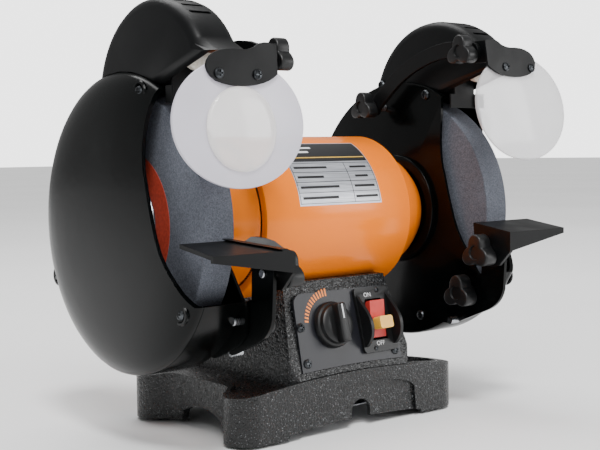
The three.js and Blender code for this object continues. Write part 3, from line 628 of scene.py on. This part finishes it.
def screw_head(radius, matrix):
    """A pan head screw with a cross recess, its head rising along +X from the face it sits on."""
    crown = [(0.25, 1), (0.5, 0.8), (0.6, 0.45), (0.62, 0)]
    profile = [(-0.4, 0), (-0.4, radius)] + [(radius * x, radius * r) for x, r in crown]
    head = turned(profile, Matrix.Identity(4), 24)
    arm, slot = radius * 0.62, radius * 0.15
    wings = [block(radius * 0.25, radius, -a, a, -b, b) for a, b in ((arm, slot), (slot, arm))]
    return tidied(carved(head, *wings), matrix)


TO_FRONT = Matrix.Rotation(math.radians(-90), 4, "Z")  # turns +X to -Y, towards the user
TO_OUTSIDE = Matrix.Rotation(math.radians(-90), 4, "Y")  # turns +X to the panel's outward side
TO_INSIDE = Matrix.Rotation(math.pi, 4, "Z")  # turns +X to -X, towards the motor


# ---- Operators -----------------------------------------------------------------------------------


class GRINDER_OT_base(bpy.types.Operator):
    """Make the cast base, its feet, its cover and the cord gland"""

    bl_idname = "grinder.base"
    bl_label = "Base"

    def execute(self, context):
        dressed("base_casting", "hammered", "frame", 1.6)
        for end in ("front", "rear"):
            for hand, _ in HANDS:
                dressed(f"foot_{end}_{hand}", "rubber", "frame", 0.8)
        dressed("base_cover", "steel", "frame")
        dressed("cord_gland", "rubber", "frame", 0.6)
        return {"FINISHED"}


class GRINDER_OT_motor(bpy.types.Operator):
    """Make the motor drum, its end bells and what turns inside them"""

    bl_idname = "grinder.motor"
    bl_label = "Motor"

    def execute(self, context):
        lip, wall, half, radius = 3.0, 3.0, 77.0, 65.5
        outer = [(-half, radius - 6), (-half, radius - 2.5)]
        outer += [(-half + 0.8, radius - 0.8), (-half + 2.5, radius)]
        inner = [(half - wall - lip, radius - wall - lip), (half - wall - lip, radius - wall)]
        profile = outer + [(-x, r) for x, r in reversed(outer)]
        profile += inner + [(-x, r) for x, r in reversed(inner)]
        remade("motor_drum", turned(profile), "enamel", "frame")
        for hand, side in HANDS:
            bell = [(77.35, 54.5), (77.35, 58), (79, 57.6), (82, 56), (90, 53), (97, 50.5), (104, 47)]
            bell += [(109, 43.5), (113, 40.5), (115.6, 38.4), (117, 35), (117, 11.5), (108.4, 11.5)]
            bell += [(108.4, 20.4), (96, 20.4), (96, 24), (107, 24), (106, 38), (100, 42.5), (90, 46.5)]
            bell += [(83, 48.5)]
            remade(f"end_bell_{hand}", mirrored(turned(bell), side), "enamel", "frame")
            dressed(f"bearing_{hand}", "steel", "frame", 0.3)
        dressed("stator_core", "laminate", "frame", 0.2)
        dressed("stator_winding", "copper", "frame", 0.4)
        dressed("rotor", "laminate", "spindle", 0.3)
        dressed("motor_shaft", "steel", "spindle", 0.4)
        return {"FINISHED"}


def drum_patch(x0, x1, a0, a1, r0, r1):
    """A curved strip on the drum, from angle a0 to a1 forward of its top and radius r0 to r1."""
    bm = bmesh.new()
    corners = [(x0, r0), (x1, r0), (x1, r1), (x0, r1)]
    face = bm.faces.new([bm.verts.new(Vector((x, 0, r)) * MM) for x, r in corners])
    geom = [face, *face.edges, *face.verts]
    start = Matrix.Rotation(math.radians(a0), 3, "X")
    bmesh.ops.rotate(bm, verts=face.verts, cent=(0, 0, 0), matrix=start)
    steps, sweep = max(1, round((a1 - a0) / 2)), math.radians(a1 - a0)
    bmesh.ops.spin(bm, geom=geom, cent=(0, 0, 0), axis=(1, 0, 0), angle=sweep, steps=steps)
    return tidied(bm, ON_SHAFT)


class GRINDER_OT_rating_label(bpy.types.Operator):
    """Make the rating label on the drum: a foil sheet with a dark heading and ruled rows"""

    bl_idname = "grinder.rating_label"
    bl_label = "Rating label"

    def execute(self, context):
        skin, left, right, top, rule, foot = 65.5, -43.5, 43.0, 25.0, 47.0, 81.0
        sheet, ink, line = skin + 0.2, skin + 0.28, 0.5

        def ruled(x0, x1, a0, a1, high=0.06):
            """Print that stands on the sheet."""
            return drum_patch(x0, x1, a0, a1, sheet, sheet + high)

        def overprint(x0, x1, a0, a1):
            """Print that stands on the heading."""
            return drum_patch(x0, x1, a0, a1, ink, ink + 0.05)

        piece("label_sheet", drum_patch(left, right, top, foot, skin + 0.05, sheet), "foil", "frame")
        heading = drum_patch(left + 1, right - 1, top + 1, rule, sheet, ink)
        piece("label_heading", heading, "black_ink", "frame")
        band = overprint(left + 2, right - 2, rule - 4.4, rule - 3.4)
        piece("label_band", band, "gold_ink", "frame")
        rows, middle, first_line, last_line = 4, 14.0, rule + 1.5, foot - 1.5
        pitch = (foot - 1.5 - rule - 1.5) / rows
        lines = [ruled(left + 1, left + 1 + line, first_line, last_line)]
        lines.append(ruled(right - 1 - line, right - 1, first_line, last_line))
        lines.append(ruled(middle, middle + line, first_line, last_line))
        for row in range(rows + 1):
            a = first_line + row * pitch
            lines.append(ruled(left + 1, right - 1, a - 0.2, a + 0.2))
        second_column = middle + 14
        for row, (first, second) in enumerate(((34, 18), (27, 14), (40, 22), (37, 24))):
            a = first_line + (row + 0.5) * pitch
            lines.append(ruled(left + 4, left + 4 + first, a - 0.9, a + 0.9, 0.05))
            reach = second / 2
            lines.append(ruled(second_column - reach, second_column + reach, a - 0.9, a + 0.9, 0.05))
        piece("label_print", joined(*lines), "black_ink", "frame")
        bars = [overprint(left + 5, left + 5 + wide, a, a + 2) for a, wide in ((31, 30), (36, 24))]
        piece("label_heading_print", joined(*bars), "white_ink", "frame")
        return {"FINISHED"}


class GRINDER_OT_wheels(bpy.types.Operator):
    """Make the grinding wheels with their card discs, flanges and nuts"""

    bl_idname = "grinder.wheels"
    bl_label = "Wheels"

    def execute(self, context):
        near, far = WHEEL_X - WHEEL_HALF, WHEEL_X + WHEEL_HALF
        for hand, side in HANDS:
            rim = [(near, 8.3), (near, 99.2), (near + 0.4, 99.8), (near + 1, WHEEL_RADIUS)]
            rim += [(far - 1, WHEEL_RADIUS), (far - 0.4, 99.8), (far, 99.2), (far, 8.3)]
            remade(f"wheel_{hand}", mirrored(turned(rim), side), "stone", "spindle")
            for where, x0, x1 in (("inner", near - 0.3, near - 0.02), ("outer", far + 0.02, far + 0.3)):
                card = turned([(x0, 36.2), (x0, 55), (x1, 55), (x1, 36.2)])
                piece(f"wheel_card_{where}_{hand}", mirrored(card, side), "blotter", "spindle")
            dressed(f"inner_flange_{hand}", "steel", "spindle", 0.4)
            dressed(f"outer_flange_{hand}", "steel", "spindle", 0.4)
            dressed(f"spindle_nut_{hand}", "steel", "spindle", 0.6)
        return {"FINISHED"}


# The front edge of the wheel's opening as (y, z), from above down to the foot, then round in front.
OPENING = [(-56, 320), (-56, 252), (-55, 240), (-54.6, 230), (-54.9, 221), (-55.7, 213), (-57, 206)]
OPENING += [(-59, 200), (-62, 188), (-66, 174), (-69.6, 162.5), (-74, 152), (-79, 143.5), (-84.5, 136)]
OPENING += [(-91, 126.5), (-99, 115), (-150, 113), (-150, 320)]


def opening(x0, x1):
    """The solid cut from a guard to let the wheel through, between x0 and x1."""
    return plate(OPENING, x1 - x0, Matrix.Translation(at(x0, 0, 0)) @ SIDE_ON)


class GRINDER_OT_guards(bpy.types.Operator):
    """Make the wheel guards: a spun shell, its domed cover and their screws"""

    bl_idname = "grinder.guards"
    bl_label = "Wheel guards"

    def execute(self, context):
        x, r, w = GUARD_X, GUARD_RADIUS, GUARD_WALL
        for hand, side in HANDS:
            wall = [(x, 24), (x, r - 3), (x + 0.9, r - 0.9), (x + 3, r), (GUARD_SEAM, r)]
            wall += [(GUARD_SEAM, r - w), (x + 4, r - w), (x + w, r - w - 2), (x + w, 24)]
            shell = carved(turned(wall), opening(x - 8, x + 70))
            foot = [(-40, 72), (-62, 70), (-78, 76), (-92, 83), (-101, 92), (-103, 112)]
            foot += [(-96, 118), (-60, 100)]
            lobe = carved(
                plate(foot, w, Matrix.Translation(at(x, 0, 0)) @ SIDE_ON),
                turned([(x - 5, 0), (x - 5, r - 3), (x + 5, r - 3), (x + 5, 0)]),
                opening(x - 8, x + 70),
            )
            remade(f"guard_shell_{hand}", mirrored(joined(shell, lobe), side), "gloss", "frame", 0.5)
            ring = turned([(x - 5, 40.5), (x - 5, 46.5), (x - 4, 48.5), (x - 0.1, 48.5), (x - 0.1, 40.5)])
            piece(f"guard_boss_{hand}", mirrored(ring, side), "gloss", "frame", (), 0.4)
            dome = [(179.6, 0), (179, r - 80), (178, r - 56), (176.5, r - 38), (175, r - 28)]
            dome += [(173, r - 20), (170, r - 12), (166, r - 6), (163, r - w - 0.6), (160.35, r - w)]
            dome += [(160.35, r), (163, r), (165.5, r - 0.8), (168, r - 2.8), (171, r - 6.5)]
            dome += [(173.5, r - 11), (176, r - 17.5), (178, r - 26), (179.6, r - 38), (180.7, r - 56)]
            dome += [(181.5, r - 80), (182, 0)]
            cover = carved(turned(dome), opening(x - 8, x + 70))
            remade(f"guard_cover_{hand}", mirrored(cover, side), "gloss", "frame", 0.5)
            for i, (y, z, depth) in enumerate(((-39.5, 266.5, 170.2), (-87, 110, 170.2), (92, 124, 170.6))):
                centre = place(depth, y, z)
                rim = [(-1.2, 6), (-1.2, 8), (0.6, 8.6), (1.6, 8), (1.6, 6.4), (-0.2, 5.6)]
                cup = turned(rim, centre, 40)
                piece(f"cover_cup_{i + 1}_{hand}", mirrored(cup, side), "gloss", "frame")
                head = screw_head(sizes().screw, centre)
                piece(f"cover_screw_{i + 1}_{hand}", mirrored(head, side), "oxide", "frame")
            for i, (y, z) in enumerate(((-37.8, 270.4), (-30, 74), (86, 118))):
                head = screw_head(4.2, place(x - 0.2, y, z) @ TO_INSIDE)
                piece(f"shell_screw_{i + 1}_{hand}", mirrored(head, side), "oxide", "frame")
        return {"FINISHED"}


class GRINDER_OT_lamps(bpy.types.Operator):
    """Make the lamp housings with their vents, the bulbs and the spark arresters"""

    bl_idname = "grinder.lamps"
    bl_label = "Work lights"

    def execute(self, context):
        for hand, side in HANDS:
            slots = []
            for step in range(3):
                angle = 17 + 9 * step
                place_at = place(145.5, -39, 260, angle)
                slot = soften(block(-9, 9, -1.7, 1.7, 66, 80, place_at), 1.2, 2)
                slots.append(mirrored(slot, side))
            hood = carved(copy_of(f"lamp_housing_{hand}"), *slots)
            remade(f"lamp_housing_{hand}", hood, "satin", "frame", 0.6, 38)
            dressed(f"lamp_bulb_{hand}", "glass", "frame", 0.3)
            dressed(f"spark_arrester_{hand}", "satin", f"spark_arrester_{hand}", 0.4)
            head = screw_head(4.2, place(126.6, 22, 282) @ TO_INSIDE)
            piece(f"lamp_screw_{hand}", mirrored(head, side), "oxide", "frame")
        return {"FINISHED"}


def shield_place(hand):
    """The place of the shield's own frame on the right, before the left one is mirrored."""
    foot = place(0, *ARM_FOOT)
    swing = foot @ Matrix.Rotation(math.radians(ARM_DROP[hand]), 4, "X") @ foot.inverted()
    return swing, swing @ place(*SHIELD_CENTRE, -SHIELD_LEAN)


class GRINDER_OT_eye_shields(bpy.types.Operator):
    """Make the eye shields, the magnifier, their brackets and their arms"""

    bl_idname = "grinder.eye_shields"
    bl_label = "Eye shields"

    def execute(self, context):
        for hand, side in HANDS:
            _, shield = shield_place(hand)
            body = f"eye_shield_{hand}"
            lens = bmesh.new()
            half_high, half_wide = 44.5, 55
            bmesh.ops.create_circle(lens, cap_ends=True, segments=120, radius=half_high * MM)
            bmesh.ops.scale(lens, vec=(half_wide / half_high, 1, 1), verts=lens.verts)
            made = bmesh.ops.extrude_face_region(lens, geom=list(lens.faces))
            top = [g for g in made["geom"] if isinstance(g, bmesh.types.BMVert)]
            bmesh.ops.translate(lens, vec=(0, 0, 3 * MM), verts=top)
            tidied(lens)
            soften(lens, 0.9, 2, 60)
            lens.transform(shield @ Matrix.Rotation(math.radians(90), 4, "X") @ local(0, 0, -1.5))
            kind = "milky_lens" if hand == "left" else "clear_lens"
            remade(f"shield_lens_{hand}", mirrored(tidied(lens), side), kind, body)
            dressed(f"shield_bracket_{hand}", "satin", body, 0.5)
            dressed(f"shield_arm_{hand}", "satin", f"shield_arm_{hand}", 0.7)
            for i, across in enumerate((-16, 16)):
                spot = shield @ local(across + PLATE_SHIFT[hand] * 0.5, -3.9, 33) @ TO_FRONT
                head = screw_head(3.6, spot)
                piece(f"shield_screw_{i + 1}_{hand}", mirrored(head, side), "oxide", body)
        _, shield = shield_place("left")
        bowl = [(0.0, 0), (0.0, 29), (0.9, 29.2)]
        angles = [math.radians(a) for a in range(80, -1, -8)]
        bowl += [(0.9 + 4.8 * math.cos(a), 29 * math.sin(a)) for a in angles]
        glass = turned(bowl, shield @ local(0, -1.9, -4) @ TO_FRONT, 96)
        remade("magnifier", mirrored(glass, -1), "magnifier", "eye_shield_left")
        return {"FINISHED"}


class GRINDER_OT_tool_rests(bpy.types.Operator):
    """Make the tool rests, their brackets and the bracket bolts"""

    bl_idname = "grinder.tool_rests"
    bl_label = "Tool rests"

    def execute(self, context):
        for hand, side in HANDS:
            dressed(f"tool_rest_{hand}", "satin", f"tool_rest_{hand}", 0.7)
            dressed(f"rest_bracket_{hand}", "gloss", f"rest_bracket_{hand}", 0.5)
            bolt = turned([(-5, 0), (-5, 3), (4.5, 3), (5, 2.5), (5, 0)], place(116, -76, 75), 24)
            piece(f"bracket_stop_{hand}", mirrored(bolt, side), "steel", f"rest_bracket_{hand}")
            spacer = turned([(112.4, 3.6), (112.4, 7), (119.2, 7), (119.2, 3.6)], place(0, *REST_PIVOT), 32)
            piece(f"rest_spacer_{hand}", mirrored(spacer, side), "steel", f"rest_bracket_{hand}", (), 0.3)
        return {"FINISHED"}


def lobed_knob(x0, x1, reach, matrix):
    """A three lobed hand knob along X: waisted lobes with rounded rims and a hollowed face."""
    points = []
    for step in range(96):
        angle = math.radians(3.75 * step)
        lift = ((1 + math.cos(3 * (angle - math.pi / 2))) / 2) ** 0.75
        r = reach * (0.58 + 0.42 * lift)
        points.append((r * math.cos(angle), r * math.sin(angle)))
    body = soften(plate(points, x1 - x0, matrix @ local(x0, 0, 0) @ SIDE_ON), 1.8, 3, 60)
    dish = [(x0 - 1, 0), (x0 - 1, reach * 0.42), (x0 + 1.6, reach * 0.36), (x0 + 1.6, 0)]
    hollow = turned(dish, matrix, 40)
    return carved(body, hollow)


class GRINDER_OT_hand_knobs(bpy.types.Operator):
    """Make the lobed hand knobs, their hubs and their bolts"""

    bl_idname = "grinder.hand_knobs"
    bl_label = "Hand knobs"

    def execute(self, context):
        reach = sizes().lobe_radius
        for hand, side in HANDS:
            swing, _ = shield_place(hand)
            # Name, the knob's two faces, its hub's far face and its bolt's end along X, its axis, its reach.
            knobs = (
                ("rest_knob", 95, 108, 111.6, 124, place(0, *REST_PIVOT), reach),
                ("bracket_knob", 101, 114, 118.8, 130, place(0, *CLAMP), reach),
                ("arm_knob", 92, 103.5, 107.6, 130, place(0, *ARM_FOOT), reach * 0.9),
                ("shield_knob", 92, 103.5, 107.6, 119, swing @ place(0, *ARM_TIP), reach * 0.9),
            )
            for name, x0, x1, face, end, matrix, size in knobs:
                body = f"{name}_{hand}"
                knob = lobed_knob(x0, x1, size, matrix)
                remade(f"{name}_{hand}", mirrored(knob, side), "nylon", body)
                neck = size * 0.42
                collar = [(x1 - 0.3, 3.2), (x1 - 0.3, size * 0.5), (x1 + 2, neck)]
                collar += [(face, neck), (face, 3.2)]
                hub = turned(collar, matrix, 40)
                piece(f"{name}_hub_{hand}", mirrored(hub, side), "nylon", body, (), 0.3)
                rod = [(x0 + 1.7, 0), (x0 + 1.7, 3.1), (end - 0.6, 3.1), (end, 2.5), (end, 0)]
                bolt = turned(rod, matrix, 24)
                piece(f"{name}_bolt_{hand}", mirrored(bolt, side), "steel", body)
        return {"FINISHED"}


def lettering(name, words, height, x, v, w):
    """Raised print on the panel."""
    text = bpy.data.curves.new(name, "FONT")
    text.body, text.size, text.extrude = words, height * MM, 0.05 * MM
    text.align_x, text.align_y = "CENTER", "CENTER"
    helper = bpy.data.objects.new(name, text)
    bpy.context.scene.collection.objects.link(helper)
    graph = bpy.context.evaluated_depsgraph_get()
    mesh = bpy.data.meshes.new_from_object(helper.evaluated_get(graph))
    bpy.data.objects.remove(helper)
    bpy.data.curves.remove(text)
    bm = bmesh.new()
    bm.from_mesh(mesh)
    bpy.data.meshes.remove(mesh)
    piece(name, tidied(bm, ON_PANEL @ local(x, v, w)), "white_ink", "frame")


class GRINDER_OT_controls(bpy.types.Operator):
    """Make the control panel with its dial, speed knob, switch and safety key"""

    bl_idname = "grinder.controls"
    bl_label = "Controls"

    def execute(self, context):
        dressed("control_panel", "panel", "frame", 0.5)
        dressed("speed_potentiometer", "steel", "frame", 0.2)
        dressed("speed_control_board", "board", "frame", 0.2)
        dressed("switch_housing", "nylon", "frame", 0.6)
        dressed("switch_paddle", "rocker", "switch_paddle", 0.7)
        dressed("safety_key", "key", "safety_key", 0.8)
        self.speed_knob()
        self.dial()
        for i, (x, v) in enumerate(((-47.5, 4.5), (-47, -24), (46.5, -24))):
            spot = ON_PANEL @ local(x, v, 0) @ TO_OUTSIDE
            piece(f"panel_screw_{i + 1}", screw_head(3.6, spot), "oxide", "frame")
        for i, v in enumerate((SWITCH_V - 23.6, SWITCH_V + 23.6)):
            spot = ON_PANEL @ local(SWITCH_X - 6 + 12 * i, v, 3) @ TO_OUTSIDE
            piece(f"switch_screw_{i + 1}", screw_head(2.0, spot), "oxide", "frame")
        lettering("switch_mark_on", "ON", 5, SWITCH_X - 5, SWITCH_V + 20.4, 3.02)
        lettering("switch_mark_off", "OFF", 5, SWITCH_X, SWITCH_V - 20, 3.02)
        return {"FINISHED"}

    def speed_knob(self):
        """The speed knob: a skirt, a domed cap and a raised grip with a pointer line."""
        spot = ON_PANEL @ local(KNOB_X, KNOB_V, 0) @ TO_OUTSIDE
        skirt = [(0.5, 3.6), (0.5, 18.5), (2.6, 18.5), (4.4, 17.6), (5.2, 16), (8.2, 15.2)]
        skirt += [(9.4, 13.6), (9.8, 10), (9.9, 3.6)]
        cap = turned(skirt, spot, 96)
        grip = [(-3.6, -15.5), (3.6, -15.5), (4.4, -12), (4.4, 12), (3.6, 15.5), (-3.6, 15.5)]
        grip += [(-4.4, 12), (-4.4, -12)]
        bar = soften(plate(grip, 8.4, ON_PANEL @ local(KNOB_X, KNOB_V, 8.2)), 1.2, 3, 40)
        remade("speed_knob", joined(cap, bar), "nylon", "speed_knob")
        line = block(-0.6, 0.6, 3, 14.4, 16.55, 16.75, ON_PANEL @ local(KNOB_X, KNOB_V, 0))
        piece("speed_knob_pointer", line, "white_ink", "speed_knob")

    def dial(self):
        """The dial marks: a short arc of wedges that grow with the speed."""
        marks = []
        for step in range(sizes().ticks):
            share = step / (sizes().ticks - 1)
            angle = 168 - 76 * share
            long = 3.6 + 2.6 * share
            turn = Matrix.Rotation(math.radians(angle), 4, "Z")
            spot = ON_PANEL @ local(KNOB_X, KNOB_V, 0) @ turn
            marks.append(block(23.5, 23.5 + long, -0.75, 0.75, 0.02, 0.1, spot))
        piece("dial_marks", joined(*marks), "orange_ink", "frame")


class GRINDER_OT_stage(bpy.types.Operator):
    """Set out the floor, the soft lights and the camera"""

    bl_idname = "grinder.stage"
    bl_label = "Stage"

    def execute(self, context):
        bm = bmesh.new()
        bmesh.ops.create_grid(bm, x_segments=1, y_segments=1, size=20)
        mesh = bpy.data.meshes.new("floor")
        bm.to_mesh(mesh)
        bm.free()
        floor = bpy.data.objects.new("floor", mesh)
        mesh.materials.append(finish_of("floor"))
        context.scene.collection.objects.link(floor)
        self.light("key", (-1.3, -1.7, 1.9), 0.9, 34)
        self.light("fill", (1.5, -1.6, 0.7), 0.9, 16)
        self.light("top", (0.2, 0.9, 2.2), 1.4, 34)
        self.sun()
        self.backdrop(context)
        self.camera(context)
        return {"FINISHED"}

    def light(self, name, spot, size, power):
        """A soft lamp that faces the grinder."""
        data = bpy.data.lights.new(name, "AREA")
        data.size, data.energy = size, power
        lamp = bpy.data.objects.new(name, data)
        lamp.location = spot
        aim = Vector((0, 0, 0.16)) - Vector(spot)
        lamp.rotation_euler = aim.to_track_quat("-Z", "Y").to_euler()
        bpy.context.scene.collection.objects.link(lamp)

    def sun(self):
        """A soft light from above, which keeps the floor pale."""
        data = bpy.data.lights.new("overhead", "SUN")
        data.energy, data.angle = 2.3, math.radians(12)
        lamp = bpy.data.objects.new("overhead", data)
        lamp.rotation_euler = (math.radians(28), math.radians(-14), 0)
        bpy.context.scene.collection.objects.link(lamp)

    def backdrop(self, context):
        """Plain white to the eye and dim to the object, so that gloss keeps its blacks."""
        world = bpy.data.worlds.new("studio")
        world.use_nodes = True
        tree = world.node_tree
        back = tree.nodes["Background"]
        seen = add_node(tree, "ShaderNodeLightPath")
        strength = add_node(
            tree,
            "ShaderNodeMapRange",
            {"Value": seen.outputs["Is Camera Ray"], "To Min": 0.42, "To Max": 3.2},
        )
        tree.links.new(strength.outputs[0], back.inputs["Strength"])
        back.inputs["Color"].default_value = (1, 1, 1, 1)
        context.scene.world = world

    def camera(self, context):
        """A long lens, low and to the left of the front."""
        data = bpy.data.cameras.new("camera")
        data.lens, data.sensor_width = 69.0, 36.0
        camera = bpy.data.objects.new("camera", data)
        yaw, pitch, roll = 39.097, 3.661, -0.849
        turn = Matrix.Rotation(math.radians(-yaw), 4, "Z")
        turn = turn @ Matrix.Rotation(math.radians(90 - pitch), 4, "X")
        tilt = Matrix.Rotation(math.radians(roll), 4, "Z")
        camera.matrix_world = place(-607.664, -758.213, 222.115) @ turn @ tilt
        context.scene.collection.objects.link(camera)
        context.scene.camera = camera


BUILDERS = (
    GRINDER_OT_base,
    GRINDER_OT_motor,
    GRINDER_OT_rating_label,
    GRINDER_OT_wheels,
    GRINDER_OT_guards,
    GRINDER_OT_lamps,
    GRINDER_OT_eye_shields,
    GRINDER_OT_tool_rests,
    GRINDER_OT_hand_knobs,
    GRINDER_OT_controls,
    GRINDER_OT_stage,
)


class GRINDER_PT_sidebar(bpy.types.Panel):
    """The grinder's settings and builders"""

    bl_idname = "GRINDER_PT_sidebar"
    bl_label = "Bench Grinder"
    bl_space_type = "VIEW_3D"
    bl_region_type = "UI"
    bl_category = "Grinder"

    def draw(self, context):
        for settings in (context.scene.grinder_sizes, context.scene.grinder_colours):
            for name in settings.__annotations__:
                self.layout.prop(settings, name)
        for builder in BUILDERS:
            self.layout.operator(builder.bl_idname)


CLASSES = (GrinderSizes, GrinderColours, *BUILDERS, GRINDER_PT_sidebar)


def register():
    """Adds the settings, the builders and the panel."""
    for cls in CLASSES:
        bpy.utils.register_class(cls)
    bpy.types.Scene.grinder_sizes = PointerProperty(type=GrinderSizes)
    bpy.types.Scene.grinder_colours = PointerProperty(type=GrinderColours)


def unregister():
    """Takes them away again."""
    del bpy.types.Scene.grinder_colours
    del bpy.types.Scene.grinder_sizes
    for cls in reversed(CLASSES):
        bpy.utils.unregister_class(cls)


def main():
    """Builds everything in order."""
    register()
    for builder in BUILDERS:
        group, name = builder.bl_idname.split(".")
        getattr(getattr(bpy.ops, group), name)()


if __name__ == "__main__":
    main()
